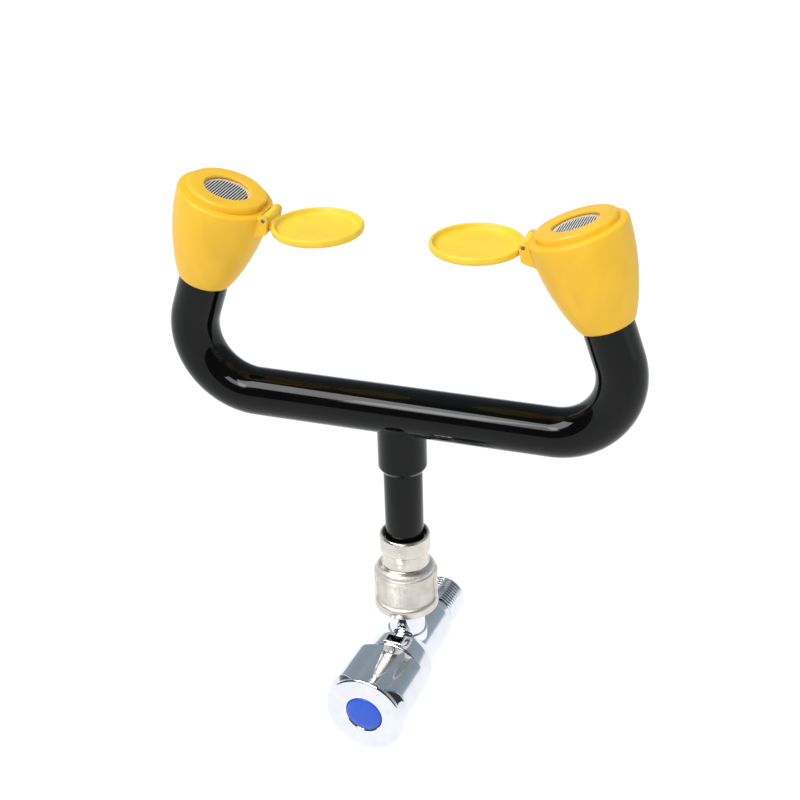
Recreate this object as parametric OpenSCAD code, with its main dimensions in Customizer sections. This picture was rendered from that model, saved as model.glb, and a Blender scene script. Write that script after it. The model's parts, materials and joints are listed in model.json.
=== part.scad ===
// Twin-head emergency eyewash on a quarter-turn angle valve.
// Origin: middle of the inlet thread, on the valve's axis. +Y runs into the wall, +Z is up.

/* [Valve] */
// Outside diameter of the pipe threads on the inlet and the outlet
thread_d = 20.96; // [19:0.01:26]
// Pitch of the pipe threads
thread_pitch = 1.814; // [1.4:0.001:2.4]
// Number of full turns on the inlet thread
thread_turns = 10; // [6:2:14]
// Distance from the middle of the inlet thread to the riser's axis
riser_back = 38.2; // [36:0.1:60]
// Diameter of the water way through the inlet
inlet_bore_d = 13; // [9:0.5:15]
// Diameter of the chamber that holds the headwork
chamber_d = 18.6; // [17:0.1:23]
// Wall of the valve's body round the chamber
body_wall = 3.2; // [2.5:0.1:5]
// How far the bonnet stands out past the body
bonnet_step = 3.3; // [2:0.1:5]
// Diameter of the plain neck under the outlet thread
outlet_neck_d = 16.4; // [15.6:0.2:18]
// Length of the outlet thread
outlet_thread_len = 13; // [9:0.5:16]
// Diameter of the headwork's spindle
spindle_d = 8; // [7:0.1:9.6]
// Thickness of each ceramic disc
disc_t = 2.5; // [1.6:0.1:3]

/* [Handle] */
// Length of the handle from its back edge to its front face
handle_len = 30.6; // [27:0.1:40]
// How far the bottom of the flutes stands out past the bonnet
flute_step = 1; // [0.6:0.1:2]
// Height of the three grip lobes over the flutes
lobe_rise = 2.8; // [2:0.1:5]
// Angle of the first lobe above the horizontal
lobe_angle = 24; // [0:1:119]
// How far the front disc lies inside the lobes' crowns
disc_inset = 1.3; // [0.8:0.1:1.8]
// Diameter of the coloured index button
button_d = 17; // [12:0.2:21]

/* [Reducing socket] */
// Height of the whole socket
socket_h = 39.4; // [37:0.2:50]
// Wall of the cast body outside the female thread
socket_wall = 2.77; // [2.2:0.01:4]
// How far the bottom collar stands out past the body
collar_step = 1.35; // [0.8:0.05:2.5]
// Gap between the riser and the wide mouth round it
mouth_gap = 1.3; // [0.8:0.1:2]
// Wall of the top rim round the mouth
rim_wall = 1.5; // [1.2:0.1:3]

/* [Pipes] */
// Outside diameter of the riser
riser_d = 17.2; // [14:0.1:21]
// Outside diameter of the bent bar tube
bar_d = 21.3; // [19:0.1:26]
// Wall of the tubes
tube_wall = 2.3; // [1.6:0.1:3]
// Height of the bar tube's axis above the valve's axis
bar_h = 127.2; // [105:0.1:240]
// Length of the tee socket below the bar tube's axis
tee_len = 28.5; // [26:0.5:36]
// Wall of the tee socket round the riser
tee_wall = 2.1; // [1.8:0.1:4]
// Half the straight length of the bar tube
bar_half = 66.2; // [55:0.1:110]
// Radius of the bends along the tube's axis
bend_r = 28.1; // [23:0.1:50]
// Lean of the arms towards the middle
arm_lean = 19; // [14:0.5:22]
// Turn of the bar tube about the riser, from square to the valve
bar_turn = 4.5; // [-15:0.5:15]

/* [Heads] */
// Distance from the end of the bend to a head's bottom edge
head_start = 16; // [10:0.5:30]
// Height of a head's shell from its bottom edge to its shoulder
head_h = 41.3; // [39.5:0.1:52]
// Wall of the threaded bush between the tube and the shell
bush_wall = 2.35; // [1.8:0.05:3]
// Diameter of the raised nozzle cap
cap_d = 34; // [32:0.1:44]
// Height of the nozzle cap above the shoulder
cap_h = 3; // [2.6:0.1:4]
// Diameter of the nozzle's opening
nozzle_d = 19.4; // [14:0.2:20]
// Number of slots in the nozzle screen
screen_slots = 15; // [7:2:17]
// Thickness of the foam filter
foam_t = 8.5; // [5:0.1:10]
// How far the shell's rim stands out past the closed lid
rim_ledge = 1.2; // [0.8:0.1:2]

/* [Dust lids] */
// Thickness of a lid's skirt
lid_wall = 1.8; // [1.4:0.1:2.4]
// Thickness of a lid's plate
lid_plate = 1.8; // [1.2:0.1:2.4]
// Angle between the closed lid and the open lid
lid_open = 161; // [150:1:163]
// Diameter of the hinge pins
pin_d = 1.8; // [1.4:0.1:2.4]

/* [Clearances] */
// Gap round parts that turn on each other
run_gap = 0.05; // [0.02:0.01:0.08]
// Gap round parts that are stacked or slid in at assembly
stack_gap = 0.05; // [0.03:0.01:0.1]
// Gap between a moving part and what it passes
swing_gap = 0.3; // [0.3:0.05:0.4]
// Gap between the closed lid's skirt and the nozzle cap
cap_gap = 0.4; // [0.3:0.05:0.6]

/* [Hidden] */
$fn = 64;
// Longer than any cut has to be
far = 100;

// Pipe thread, Whitworth form
thread_r = thread_d / 2;
thread_depth = 1.16;
crest = 0.3;
thread_len = thread_turns * thread_pitch + crest;

// Stations along the valve's axis, from the wall towards the handle
inlet_end = thread_len / 2;
thread_start = -thread_len / 2;
inlet_collar_r = thread_r + 0.4;
inlet_collar_len = 4.8;
outlet_y = -riser_back;
seat_y = outlet_y + 7.2;
seal_t = 1.9;
fixed_y = seat_y - seal_t - 2 * stack_gap;
moving_y = fixed_y - disc_t - stack_gap;
foot_y = moving_y - disc_t - stack_gap;
foot_t = 2.5;
cage_y = foot_y - foot_t - swing_gap;
cone_y = outlet_y - 4.3;
bonnet_y = outlet_y - 8.8;
mouth_y = outlet_y - 19;
flange_t = 2.4;
neck_end = mouth_y - 8.8;
handle_gap = 1.1;
handle_back = mouth_y - handle_gap;
handle_front = handle_back - handle_len;
web_front = handle_front + 5.9;
web_back = web_front + 3;
front_disc_t = 1.7;

// Radii of the valve
chamber_r = chamber_d / 2;
body_r = chamber_r + body_wall;
bonnet_r = body_r + bonnet_step;
outlet_bore_r = 6;
disc_r = chamber_r - 1.3;
spindle_r = spindle_d / 2;
flute_r = bonnet_r + flute_step;
lobe_r = flute_r + lobe_rise;
front_r = lobe_r - disc_inset;
button_r = button_d / 2;
recess_r = flute_r - 3.4;
drive_side = spindle_d * 0.7;
clip_groove_r = spindle_r - 0.8;
clip_t = 0.8;
clip_y = neck_end - swing_gap;
ring_t = 1.6;
cage_ring_y = bonnet_y - 2;
spindle_ring_y = [bonnet_y - 4, bonnet_y - 8];
screw_r = 2;
screw_head_r = 3.6;

// Reducing socket, measured up from its bottom face
socket_z = body_r + 13.7;
socket_r = thread_r + socket_wall;
collar_r = socket_r + collar_step;
mouth_r = riser_d / 2 + mouth_gap;
rim_r = mouth_r + rim_wall;
neck_r = rim_r - 1;
female_h = outlet_thread_len + 2;
stop_h = 5;
mouth_depth = 4.8;
rim_h = 8.2;

// Riser, tee socket and bar tube
riser_r = riser_d / 2;
riser_bottom = socket_z + female_h + stop_h + stack_gap;
bar_r = bar_d / 2;
tee_r = riser_r + tee_wall + stack_gap;
tee_bottom = bar_h - tee_len;
tee_seat = tee_bottom + 13;
riser_top = tee_seat - stack_gap;
riser_bore_r = riser_r - tube_wall;
riser_pitch = 1.337;
riser_turns = 7;
riser_thread_top = riser_bottom + riser_turns * riser_pitch + crest;
// The arms' straight ends lap into the bends by this much, and are thinner by this on each face
arm_lap = 1.5;
arm_draw = 0.1;

// A head, measured along its arm from the end of the bend
seat_u = head_start + 8;
tube_end = head_start + 14;
gasket_t = 1.9;
flange_u = tube_end + gasket_t + 2 * stack_gap;
bush_top = flange_u + 4;
washer_t = 2;
washer_u = bush_top + stack_gap;
diffuser_t = 3;
diffuser_u = washer_u + washer_t + stack_gap;
foam_u = diffuser_u + diffuser_t + stack_gap;
retainer_u = foam_u + foam_t + stack_gap;
spigot_u = retainer_u + swing_gap;
shoulder_u = head_start + head_h;
cap_top = shoulder_u + cap_h;
lip_t = 1.2;
screen_t = 1.15;
screen_u = cap_top - lip_t - stack_gap - screen_t;
bush_bore_r = bar_r + stack_gap;
head_bore_r = bar_r + bush_wall;
insert_r = head_bore_r - stack_gap;
cap_r = cap_d / 2;
nozzle_r = nozzle_d / 2;
screen_r = nozzle_r + 0.9;
shell_bottom_r = bar_r + 0.65;

// A closed lid and its hinge, in the same measure
lid_in_r = cap_r + cap_gap;
lid_r = lid_in_r + lid_wall;
rim_edge_r = lid_r + rim_ledge;
skirt_u = shoulder_u + swing_gap;
plate_u = cap_top + swing_gap;
lid_top = plate_u + lid_plate;
knuckle_r = 2;
pin_r = pin_d / 2;
pin_w = lid_r - swing_gap / 2 + knuckle_r - 0.25;
pin_u = shoulder_u - 0.8;
knuckle_half = 4.7;
ear_in = knuckle_half + swing_gap;
ear_out = 8;
slot_w = pin_w - knuckle_r - swing_gap;
slot_u = pin_u - 5.2;

// ---- helpers ----

// A solid turned about the valve's axis from a profile of [radius, y] points
module turn_y() { rotate([-90, 0, 0]) rotate_extrude() children(); }

// A cylinder on the valve's axis between two stations
module rod_y(r, low, high) { translate([0, low, 0]) rotate([-90, 0, 0]) cylinder(r = r, h = high - low); }

// A ring standing up Z
module ring(r_out, r_in, low, high) {
    translate([0, 0, low]) difference() {
        cylinder(r = r_out, h = high - low);
        translate([0, 0, -1]) cylinder(r = r_in, h = high - low + 2);
    }
}

// Outline of a threaded rod, crests at both ends, starting at height 0
function thread_outline(r, pitch, turns, depth) = concat(
    [[0, 0], [r, 0]],
    [for (i = [0:turns - 1]) each [
        [r, i * pitch + crest],
        [r - depth, i * pitch + pitch / 2],
        [r - depth, i * pitch + pitch / 2 + crest],
        [r, (i + 1) * pitch]]],
    [[r, turns * pitch + crest], [0, turns * pitch + crest]]);

// Places a piece on the riser's axis
module at_riser() { translate([0, outlet_y, 0]) children(); }

// Places a piece in the bar tube's frame
module at_bar() { at_riser() translate([0, 0, bar_h]) rotate([0, 0, bar_turn]) children(); }

// Places a piece on one arm: X towards the middle, Z along the arm from the end of the bend
module at_arm(side) {
    at_bar() mirror([side == "right" ? 1 : 0, 0, 0])
        translate([-bar_half - bend_r * cos(arm_lean), 0, bend_r * (1 + sin(arm_lean))])
            rotate([0, arm_lean, 0]) children();
}

// ---- valve ----

module valve_solid() {
    translate([0, thread_start, 0]) turn_y()
        polygon(thread_outline(thread_r, thread_pitch, thread_turns, thread_depth));
    turn_y() polygon([[0, thread_start], [thread_r - thread_depth, thread_start],
        [inlet_collar_r, thread_start - 1], [inlet_collar_r, thread_start - inlet_collar_len],
        [body_r - 0.4, thread_start - inlet_collar_len - 0.4],
        [body_r, thread_start - inlet_collar_len - 1.2], [body_r, cone_y],
        [bonnet_r - 0.6, bonnet_y + 0.3], [bonnet_r, bonnet_y - 0.6],
        [bonnet_r, mouth_y + 0.4], [bonnet_r - 0.4, mouth_y], [0, mouth_y]]);
    at_riser() cylinder(r = outlet_neck_d / 2, h = socket_z + 2);
    at_riser() cylinder(r = outlet_neck_d / 2 + 1, h = body_r + 0.6);
    at_riser() translate([0, 0, socket_z + 1]) rotate_extrude()
        polygon(thread_outline(thread_r - 2 * stack_gap, thread_pitch,
            floor(outlet_thread_len / thread_pitch), thread_depth));
    badge();
}

// Plain raised panel on top of the bonnet
module badge() {
    translate([-4.5, bonnet_y - 9, bonnet_r - 3]) cube([9, 6, 3.5]);
}

module valve_body() {
    color("silver") difference() {
        valve_solid();
        rod_y(inlet_bore_d / 2, seat_y - 1, inlet_end + 1);
        rod_y(chamber_r, mouth_y - 1, seat_y);
        at_riser() cylinder(r = outlet_bore_r, h = far);
    }
}

module seat_seal() {
    color("dimgray") difference() {
        rod_y(chamber_r - 2 * stack_gap, fixed_y + stack_gap, seat_y - stack_gap);
        rod_y(inlet_bore_d / 2 - 1, fixed_y - 1, seat_y + 1);
    }
}

// Ceramic disc with two fan-shaped ports, turned by an angle
module ceramic_disc(start, turn) {
    rotate([0, turn, 0]) difference() {
        rod_y(disc_r, start - disc_t, start);
        for (side = [-1, 1]) translate([side * disc_r * 0.5, 0, 0])
            rod_y(disc_r * 0.28, start - disc_t - 1, start + 1);
    }
}

module fixed_disc() { color("white") ceramic_disc(fixed_y, 0); }

module moving_disc() { color("white") ceramic_disc(moving_y, 90); }

module cartridge_body() {
    outer_r = chamber_r - stack_gap;
    color("goldenrod") difference() {
        union() {
            rod_y(outer_r, mouth_y - stack_gap, fixed_y);
            rod_y(bonnet_r - 3.6, mouth_y - stack_gap - flange_t, mouth_y - stack_gap);
            rod_y(spindle_r + 2.6, neck_end, mouth_y);
        }
        rod_y(disc_r + stack_gap, cage_y, fixed_y + 1);
        rod_y(spindle_r + run_gap, neck_end - 1, cage_y + 1);
        for (turn = [0, 90]) rotate([0, turn, 0])
            translate([-far / 2, foot_y - 2.2, -3]) cube([far, 4.4, 6]);
        turn_y() translate([outer_r - ring_t / 2, cage_ring_y])
            square([ring_t * 2, ring_t + 0.2], center = true);
    }
}

module o_ring(centre_r, y) { turn_y() translate([centre_r, y]) circle(r = ring_t / 2, $fn = 32); }

module cartridge_o_ring() {
    color("black") intersection() {
        o_ring(chamber_r - ring_t / 2, cage_ring_y);
        rod_y(chamber_r - 2 * stack_gap, cage_ring_y - ring_t, cage_ring_y + ring_t);
    }
}

module spindle() {
    color("goldenrod") difference() {
        union() {
            rod_y(disc_r - 0.6, foot_y - foot_t, foot_y);
            rod_y(spindle_r, clip_y - clip_t - 1, foot_y - foot_t);
            translate([-drive_side / 2, web_back + swing_gap, -drive_side / 2])
                cube([drive_side, clip_y - clip_t - web_back - swing_gap, drive_side]);
        }
        for (y = spindle_ring_y) turn_y() translate([spindle_r, y])
            square([3.4, ring_t + 0.1], center = true);
        turn_y() translate([clip_groove_r, clip_y - clip_t - 0.05]) square([spindle_r, clip_t + 0.1]);
        rod_y(screw_r + stack_gap, web_back - 1, web_back + 10);
    }
}

module spindle_o_rings() {
    color("black") for (y = spindle_ring_y) o_ring(spindle_r - run_gap - ring_t / 2, y);
}

module spindle_clip() {
    color("gray") difference() {
        rod_y(clip_groove_r + 2.3, clip_y - clip_t, clip_y);
        rod_y(clip_groove_r + stack_gap, clip_y - clip_t - 1, clip_y + 1);
        translate([-0.7, clip_y - clip_t - 1, 0]) cube([1.4, clip_t + 2, far]);
    }
}

// ---- handle ----

// Share of the lobe's height at an angle from its centre: flat crown, smooth flank, flat flute
function lobe_share(off) = off < 9 ? 1 : off > 40 ? 0 : 0.5 + 0.5 * cos(180 * (off - 9) / 31);

function lobe_offset(a) = abs(((a - lobe_angle + 60) % 120 + 120) % 120 - 60);

grip_outline = [for (a = [0:3:357])
    (flute_r + lobe_rise * lobe_share(lobe_offset(a))) * [cos(a), sin(a)]];

module grip() {
    intersection() {
        translate([0, handle_back, 0]) rotate([90, 0, 0])
            linear_extrude(handle_len - front_disc_t) polygon(grip_outline);
        turn_y() polygon([[0, handle_back], [flute_r - 0.8, handle_back], [flute_r, handle_back - 0.9],
            [lobe_r, handle_back - 3.4], [lobe_r, handle_front + 7.6],
            [front_r, handle_front + front_disc_t], [0, handle_front + front_disc_t]]);
    }
}

module handle() {
    color("gainsboro") difference() {
        union() {
            grip();
            turn_y() polygon([[0, handle_front + front_disc_t], [front_r, handle_front + front_disc_t],
                [front_r, handle_front + 0.6], [front_r - 0.6, handle_front], [0, handle_front]]);
        }
        difference() {
            rod_y(recess_r, web_back, handle_back + 1);
            rod_y(drive_side / 2 + 4.4, web_back - 1, clip_y - clip_t - 1.5);
        }
        translate([-drive_side / 2 - stack_gap, web_back, -drive_side / 2 - stack_gap])
            cube([drive_side + 2 * stack_gap, far, drive_side + 2 * stack_gap]);
        rod_y(screw_r + 0.2, web_front - 1, web_back + 1);
        rod_y(button_r + stack_gap, handle_front - 1, web_front);
    }
}

module handle_screw() {
    color("gray") difference() {
        union() {
            rod_y(screw_head_r, web_front - 2.6, web_front - stack_gap);
            rod_y(screw_r, web_front - 1, web_back + 9);
        }
        translate([-0.5, web_front - 3, -far / 2]) cube([1, 1.4, far]);
        translate([-far / 2, web_front - 3, -0.5]) cube([far, 1.4, 1]);
    }
}

module index_button() {
    color("royalblue") difference() {
        turn_y() polygon([[0, handle_front - 0.8], [button_r - 1.6, handle_front - 0.5],
            [button_r, handle_front + 0.3], [button_r, web_front - stack_gap], [0, web_front - stack_gap]]);
        rod_y(button_r - 1.2, handle_front + 2, web_front + 1);
    }
}

// ---- reducing socket and pipes ----

socket_outline = [[0, 0], [collar_r - 1.6, 0], [collar_r, 1.2], [collar_r, 4.2], [collar_r - 0.5, 5.2],
    [socket_r, 5.6], [socket_r, 18.8], [socket_r + 0.65, 19.4], [socket_r + 0.65, 20.8],
    [socket_r, 22.2], [neck_r + 1.2, 23.8], [neck_r, 25.2], [neck_r, socket_h - rim_h - 0.4],
    [rim_r, socket_h - rim_h], [rim_r, socket_h - 0.7], [rim_r - 0.6, socket_h], [0, socket_h]];

// Flat ribs that give a wrench its grip, on both sides of the cast body
module wrench_ribs() {
    rotate([0, 0, 20]) for (side = [-1, 1])
        translate([side * (socket_r - 0.4) - 1.5, -2.6, 4.4]) cube([3, 5.2, 15]);
}

module reducing_socket() {
    color("tan") at_riser() translate([0, 0, socket_z]) difference() {
        union() {
            rotate_extrude() polygon(socket_outline);
            intersection() {
                wrench_ribs();
                cylinder(r = collar_r - 0.3, h = socket_h);
            }
        }
        translate([0, 0, -1]) cylinder(r = thread_r + stack_gap, h = female_h + 1);
        cylinder(r = riser_bore_r, h = socket_h);
        translate([0, 0, female_h + stop_h]) cylinder(r = riser_r + stack_gap, h = socket_h);
        translate([0, 0, socket_h - mouth_depth]) cylinder(r = mouth_r, h = mouth_depth + 1);
    }
}

module riser_pipe() {
    color("black") at_riser() difference() {
        union() {
            translate([0, 0, riser_bottom]) rotate_extrude()
                polygon(thread_outline(riser_r, riser_pitch, riser_turns, 0.86));
            translate([0, 0, riser_thread_top]) cylinder(r = riser_r, h = riser_top - riser_thread_top);
        }
        translate([0, 0, riser_bottom - 1]) cylinder(r = riser_bore_r, h = far * 3);
    }
}

module tee_socket() {
    color("black") at_riser() difference() {
        translate([0, 0, tee_bottom]) rotate_extrude() polygon([[0, 0], [tee_r - 1.4, 0], [tee_r, 2.1],
            [tee_r, tee_len - 4], [0, tee_len - 4]]);
        translate([0, 0, tee_bottom - 1]) cylinder(r = riser_bore_r, h = far);
        translate([0, 0, tee_bottom - 1]) cylinder(r = riser_r + stack_gap, h = tee_seat - tee_bottom + 1);
        translate([0, 0, bar_h]) rotate([0, 90, bar_turn]) cylinder(r = bar_r, h = far, center = true);
    }
}

// Ring-shaped section of the bar tube, its wall drawn down by a hair on both faces
module tube_section(draw = 0) {
    difference() {
        circle(r = bar_r - draw);
        circle(r = bar_r - tube_wall + draw);
    }
}

module bar_tube() {
    color("black") difference() {
        union() {
            at_bar() rotate([0, 90, 0]) translate([0, 0, -bar_half])
                linear_extrude(2 * bar_half) tube_section();
            at_bar() for (side = [0, 1]) mirror([side, 0, 0]) translate([bar_half, 0, bend_r])
                rotate([90, 0, 0]) rotate([0, 0, -90])
                    rotate_extrude(angle = 90 + arm_lean) translate([bend_r, 0]) tube_section();
            for (side = ["left", "right"]) at_arm(side) translate([0, 0, -arm_lap])
                linear_extrude(tube_end + arm_lap) tube_section(arm_draw);
        }
        at_riser() translate([0, 0, bar_h - 2 * bar_r]) cylinder(r = riser_bore_r, h = 2 * bar_r);
    }
}

// ---- heads ----

// Radius of the shell's belly at a share of its height
function belly_r(t) = shell_bottom_r + (rim_edge_r - shell_bottom_r) * pow(sin(90 * t), 0.8);

shell_outline = concat([[0, head_start]],
    [for (i = [0:12]) [belly_r(i / 12), head_start + (head_h - 1.3) * i / 12]],
    [[rim_edge_r - 0.5, shoulder_u - 0.3], [rim_edge_r - 1.2, shoulder_u], [0, shoulder_u]]);

// Hinge lug on the inner side of the shell, with a slot for the lid's knuckle
module hinge_lug() {
    rotate([90, 0, 0]) linear_extrude(2 * ear_out, center = true) polygon([
        [head_bore_r + 1, pin_u - 13], [pin_w + 2.4, pin_u - 10.4], [pin_w + 4, pin_u - 9.4],
        [pin_w + knuckle_r, pin_u - 0.5], [pin_w + knuckle_r, pin_u], [pin_w - knuckle_r, pin_u],
        [pin_w - knuckle_r, shoulder_u - 1], [head_bore_r + 1, shoulder_u - 1]]);
    translate([pin_w, 0, pin_u]) rotate([90, 0, 0])
        cylinder(r = knuckle_r, h = 2 * ear_out, center = true);
}

module head_shell(side) {
    color("gold") at_arm(side) difference() {
        union() {
            rotate_extrude() polygon(shell_outline);
            hinge_lug();
        }
        cylinder(r = bar_r + stack_gap, h = far);
        translate([0, 0, seat_u]) cylinder(r = head_bore_r, h = far);
        translate([slot_w, -ear_in, slot_u]) cube([far, 2 * ear_in, far]);
        translate([pin_w, 0, pin_u]) rotate([90, 0, 0]) cylinder(r = pin_r + 0.02, h = far, center = true);
    }
}

module head_bush(side) {
    color("goldenrod") at_arm(side) difference() {
        translate([0, 0, seat_u]) cylinder(r = insert_r, h = bush_top - seat_u);
        translate([0, 0, seat_u - 1]) cylinder(r = bush_bore_r, h = flange_u - seat_u + 1);
        cylinder(r = bar_r - tube_wall, h = far);
    }
}

module head_gasket(side) {
    color("dimgray") at_arm(side)
        ring(bar_r - stack_gap, bar_r - tube_wall, tube_end + stack_gap, tube_end + stack_gap + gasket_t);
}

module flow_washer(side) {
    color("dimgray") at_arm(side) ring(insert_r, 2.2, washer_u, washer_u + washer_t);
}

// Spreader plate with a ring of holes
module diffuser(side) {
    color("white") at_arm(side) difference() {
        translate([0, 0, diffuser_u]) cylinder(r = insert_r, h = diffuser_t);
        for (a = [0:45:315]) rotate([0, 0, a]) translate([insert_r * 0.62, 0, 0])
            cylinder(r = 1.9, h = far);
        for (a = [22:90:292]) rotate([0, 0, a]) translate([insert_r * 0.28, 0, 0])
            cylinder(r = 1.2, h = far);
    }
}

module foam_filter(side) {
    color("darkgray") at_arm(side) translate([0, 0, foam_u]) cylinder(r = insert_r, h = foam_t);
}

module screen_retainer(side) {
    color("white") at_arm(side) ring(screen_r, screen_r - 2, retainer_u, screen_u - stack_gap);
}

// Stamped screen with parallel slots that run front to back
module nozzle_screen(side) {
    pitch = 2 * (nozzle_r - 0.4) / screen_slots;
    slot = pitch * 0.55;
    color("silver") at_arm(side) difference() {
        translate([0, 0, screen_u]) cylinder(r = screen_r, h = screen_t);
        intersection() {
            translate([0, 0, screen_u - 1]) cylinder(r = nozzle_r - 0.5, h = screen_t + 2);
            for (i = [0:screen_slots - 1])
                translate([(i - (screen_slots - 1) / 2) * pitch - slot / 2, -far / 2, screen_u - 1])
                    cube([slot, far, screen_t + 2]);
        }
    }
}

module nozzle_cap(side) {
    color("gold") at_arm(side) difference() {
        union() {
            translate([0, 0, spigot_u]) cylinder(r = insert_r, h = shoulder_u - spigot_u);
            rotate_extrude() polygon([[0, shoulder_u], [cap_r, shoulder_u], [cap_r, cap_top - 0.8],
                [cap_r - 0.8, cap_top], [0, cap_top]]);
        }
        translate([0, 0, spigot_u - 1])
            cylinder(r = screen_r + stack_gap, h = cap_top - lip_t - spigot_u + 1);
        cylinder(r = nozzle_r, h = far);
    }
}

module hinge_pin(side) {
    color("gray") at_arm(side) translate([pin_w, 0, pin_u]) rotate([90, 0, 0])
        cylinder(r = pin_r, h = 2 * ear_out - 1.6, center = true);
}

// ---- dust lids ----

// A lid as it lies closed on its head
module closed_lid() {
    difference() {
        union() {
            rotate_extrude() polygon([[0, skirt_u], [lid_r - 0.4, skirt_u], [lid_r, skirt_u + 0.4],
                [lid_r, lid_top - 1], [lid_r - 1, lid_top], [0, lid_top]]);
            rotate([90, 0, 0]) linear_extrude(2 * knuckle_half, center = true) polygon([
                [lid_in_r, skirt_u], [lid_in_r, plate_u], [lid_r, plate_u + 0.6],
                [pin_w + 0.9, pin_u + 1.8], [pin_w, pin_u], [pin_w - knuckle_r, pin_u],
                [pin_w - knuckle_r, skirt_u]]);
            translate([pin_w, 0, pin_u]) rotate([90, 0, 0])
                cylinder(r = knuckle_r, h = 2 * knuckle_half, center = true);
        }
        translate([0, 0, skirt_u - 3]) cylinder(r = lid_in_r, h = plate_u - skirt_u + 3);
        translate([pin_w, 0, pin_u]) rotate([90, 0, 0])
            cylinder(r = pin_r + run_gap, h = far, center = true);
    }
}

module lid(side) {
    color("gold") at_arm(side) translate([pin_w, 0, pin_u]) rotate([0, lid_open, 0])
        translate([-pin_w, 0, -pin_u]) closed_lid();
}

valve_body();
seat_seal();
fixed_disc();
moving_disc();
cartridge_body();
cartridge_o_ring();
spindle();
spindle_o_rings();
spindle_clip();
handle();
handle_screw();
index_button();
reducing_socket();
riser_pipe();
tee_socket();
bar_tube();
head_shell("left");  // head_shell_left
head_bush("left");  // head_bush_left
head_gasket("left");  // head_gasket_left
flow_washer("left");  // flow_washer_left
diffuser("left");  // diffuser_left
foam_filter("left");  // foam_filter_left
screen_retainer("left");  // screen_retainer_left
nozzle_screen("left");  // nozzle_screen_left
nozzle_cap("left");  // nozzle_cap_left
hinge_pin("left");  // hinge_pin_left
lid("left");  // lid_left
head_shell("right");  // head_shell_right
head_bush("right");  // head_bush_right
head_gasket("right");  // head_gasket_right
flow_washer("right");  // flow_washer_right
diffuser("right");  // diffuser_right
foam_filter("right");  // foam_filter_right
screen_retainer("right");  // screen_retainer_right
nozzle_screen("right");  // nozzle_screen_right
nozzle_cap("right");  // nozzle_cap_right
hinge_pin("right");  // hinge_pin_right
lid("right");  // lid_right
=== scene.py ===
"""Twin-head emergency eyewash on a chrome angle valve.

Each operator makes one piece, or a group of like pieces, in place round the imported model. Places
are in metres in the model's own frame: +Y runs into the wall and +Z is up. Outlines are drawn in
millimetres. A piece turned about the valve's axis is drawn in a frame whose Z runs from the wall
towards the handle. A head is drawn in the frame of its arm, with X towards the middle and Z along
the arm.
"""

import json
from math import atan2, cos, pi, radians, sin, sqrt

import bmesh
import bpy
from bpy.props import FloatProperty, FloatVectorProperty, IntProperty, PointerProperty
from mathutils import Matrix, Vector


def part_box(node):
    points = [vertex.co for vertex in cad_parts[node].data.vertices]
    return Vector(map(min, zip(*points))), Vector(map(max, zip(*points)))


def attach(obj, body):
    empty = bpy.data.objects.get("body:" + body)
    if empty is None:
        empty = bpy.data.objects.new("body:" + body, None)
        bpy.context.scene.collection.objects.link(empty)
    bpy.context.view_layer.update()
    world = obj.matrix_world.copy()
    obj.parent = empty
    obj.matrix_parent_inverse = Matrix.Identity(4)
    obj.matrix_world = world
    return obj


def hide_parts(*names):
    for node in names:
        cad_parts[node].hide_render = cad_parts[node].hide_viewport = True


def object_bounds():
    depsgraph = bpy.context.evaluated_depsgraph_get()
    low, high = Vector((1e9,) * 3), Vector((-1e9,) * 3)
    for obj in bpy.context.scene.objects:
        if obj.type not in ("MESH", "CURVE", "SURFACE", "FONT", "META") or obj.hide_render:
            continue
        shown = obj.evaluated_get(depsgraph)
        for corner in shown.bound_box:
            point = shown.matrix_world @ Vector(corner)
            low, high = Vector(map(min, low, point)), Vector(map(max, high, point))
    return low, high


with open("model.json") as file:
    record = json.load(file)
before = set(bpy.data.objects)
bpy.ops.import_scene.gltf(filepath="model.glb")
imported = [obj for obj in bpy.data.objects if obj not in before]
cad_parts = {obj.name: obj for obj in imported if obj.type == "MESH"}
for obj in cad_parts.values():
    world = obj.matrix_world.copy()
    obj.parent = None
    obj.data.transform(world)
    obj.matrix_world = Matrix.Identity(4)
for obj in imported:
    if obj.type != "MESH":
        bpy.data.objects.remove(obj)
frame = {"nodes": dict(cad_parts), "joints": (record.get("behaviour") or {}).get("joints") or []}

bl_info = {
    "name": "Twin-head eyewash",
    "version": (1, 0, 0),
    "blender": (4, 5, 0),
    "location": "View3D > Sidebar > Eyewash",
    "description": "Makes the pieces, finishes and stage of a twin-head emergency eyewash",
    "category": "Object",
}

MM = 0.001
CAD_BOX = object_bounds()
SIDES = ("left", "right")
UP = Vector((0, 0, 1))
FULL_TURN = 2 * pi
MERGE = 0.002 * MM
# Steps of a full turn on a plain turned piece, and on one whose surface is shaped after it
ROUND = 128
FINE_ROUND = 360
THREAD_ROUND = 96
# Wall of the riser and the bar, and the pitch and the depth of the riser's thread
PIPE_WALL, RISER_PITCH, RISER_DEPTH = 2.3, 1.337, 0.86
# How far down the straight arm the bar's bore is drawn, as a share of the arm
BORE_SHARE = 0.4
# One turn of a thread: (share of the depth, share of the pitch), from crest to root and back
TOOTH = ((0, 0.02), (0, 0.32), (0.12, 0.39), (0.88, 0.62), (1, 0.68), (1, 0.74), (0.88, 0.79),
    (0.12, 0.96))


# ---- places taken from the frame ----

def joint(name):
    """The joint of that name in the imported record."""
    return next(j for j in frame["joints"] if j["name"] == name)


def middle_and_radius(node):
    """Middle, radius across X and both heights of an upright turned node."""
    low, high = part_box(node)
    return (low + high) / 2, (high.x - low.x) / 2, low.z, high.z


def along_valve(node):
    """Both ends of a node along the valve's axis, the one nearer the wall first."""
    low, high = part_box(node)
    return -high.y, -low.y


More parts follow.
